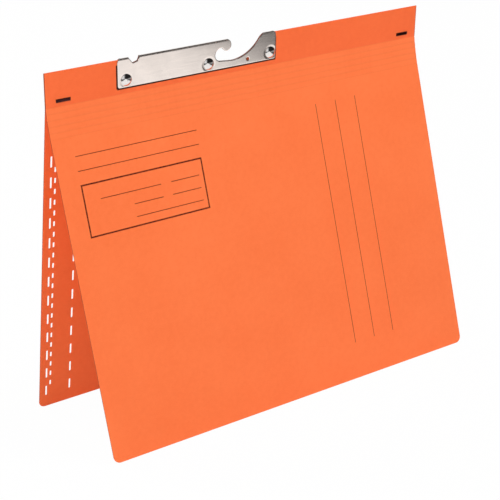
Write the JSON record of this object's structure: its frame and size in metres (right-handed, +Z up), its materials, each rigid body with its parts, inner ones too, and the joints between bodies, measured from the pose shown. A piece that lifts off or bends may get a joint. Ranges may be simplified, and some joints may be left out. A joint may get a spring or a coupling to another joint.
{
  "type": "hanging file folder",
  "caption": "A4 hanging file folder of orange board, standing open, with a steel rail hook on its spine, scored front cover, tab slots and a two-prong paper fastener.",
  "frame": {"origin": "middle of the footprint, on the surface that both covers' lower edges stand on", "axes": "+X along the spine towards the hook's horn, +Z up, the printed front cover faces -Y"},
  "size_m": [0.318, 0.113, 0.2632],
  "materials": {
    "board": "uncoated orange manila board",
    "plate_steel": "nickel-plated, satin",
    "rivet_steel": "polished",
    "staple_wire": "dull wire",
    "fastener_steel": "zinc-plated",
    "patch_board": "uncoated"
  },
  "bodies": {
    "spine_band": {"band_front": "board", "band_rear": "board", "hook_plate": "plate_steel", "rivet_left": "rivet_steel", "rivet_middle": "rivet_steel", "rivet_right": "rivet_steel", "staple_left": "staple_wire", "staple_right": "staple_wire"},
    "score_1": {"score_strip_1": "board"},
    "score_2": {"score_strip_2": "board"},
    "score_3": {"score_strip_3": "board"},
    "score_4": {"score_strip_4": "board"},
    "score_5": {"score_strip_5": "board"},
    "front_cover": {"front_panel": "board"},
    "rear_cover": {"rear_panel": "board", "tongue_strip": "fastener_steel", "backing_patch": "patch_board", "cover_bar": "fastener_steel"},
    "prong_left": {"prong_left": "fastener_steel"},
    "prong_right": {"prong_right": "fastener_steel"}
  },
  "joints": [
    {"name": "front_crease", "type": "hinge", "parent": "spine_band", "child": "score_1", "pos_m": [0, -0.00236, 0.23844], "axis": [-1, 0, 0], "range_deg": [-8.5, 96.5]},
    {"name": "score_fold_1", "type": "hinge", "parent": "score_1", "child": "score_2", "pos_m": [0, -0.00277, 0.23424], "axis": [-1, 0, 0], "range_deg": [-1.13, 12.87]},
    {"name": "score_fold_2", "type": "hinge", "parent": "score_2", "child": "score_3", "pos_m": [0, -0.00329, 0.23005], "axis": [-1, 0, 0], "range_deg": [-1.13, 12.87]},
    {"name": "score_fold_3", "type": "hinge", "parent": "score_3", "child": "score_4", "pos_m": [0, -0.00392, 0.22588], "axis": [-1, 0, 0], "range_deg": [-1.13, 12.87]},
    {"name": "score_fold_4", "type": "hinge", "parent": "score_4", "child": "score_5", "pos_m": [0, -0.00466, 0.22172], "axis": [-1, 0, 0], "range_deg": [-1.13, 12.87]},
    {"name": "score_fold_5", "type": "hinge", "parent": "score_5", "child": "front_cover", "pos_m": [0, -0.00551, 0.21759], "axis": [-1, 0, 0], "range_deg": [-1.13, 12.87]},
    {"name": "rear_crease", "type": "hinge", "parent": "spine_band", "child": "rear_cover", "pos_m": [0, -0.00156, 0.23852], "axis": [1, 0, 0], "range_deg": [-7.73, 82.27]},
    {"name": "prong_left_bend", "type": "hinge", "parent": "rear_cover", "child": "prong_left", "pos_m": [-0.04, 0.00568, 0.20117], "axis": [0, 0.2367, -0.9716], "range_deg": [-7.28, 82.72]},
    {"name": "prong_right_bend", "type": "hinge", "parent": "rear_cover", "child": "prong_right", "pos_m": [0.04, 0.00568, 0.20117], "axis": [0, -0.2367, 0.9716], "range_deg": [-7.28, 82.72]}
  ],
  "couplings": [
    {"joint": "prong_left_bend", "follows": "front_crease", "ratio": 0.85714},
    {"joint": "prong_right_bend", "follows": "front_crease", "ratio": 0.85714}
  ]
}
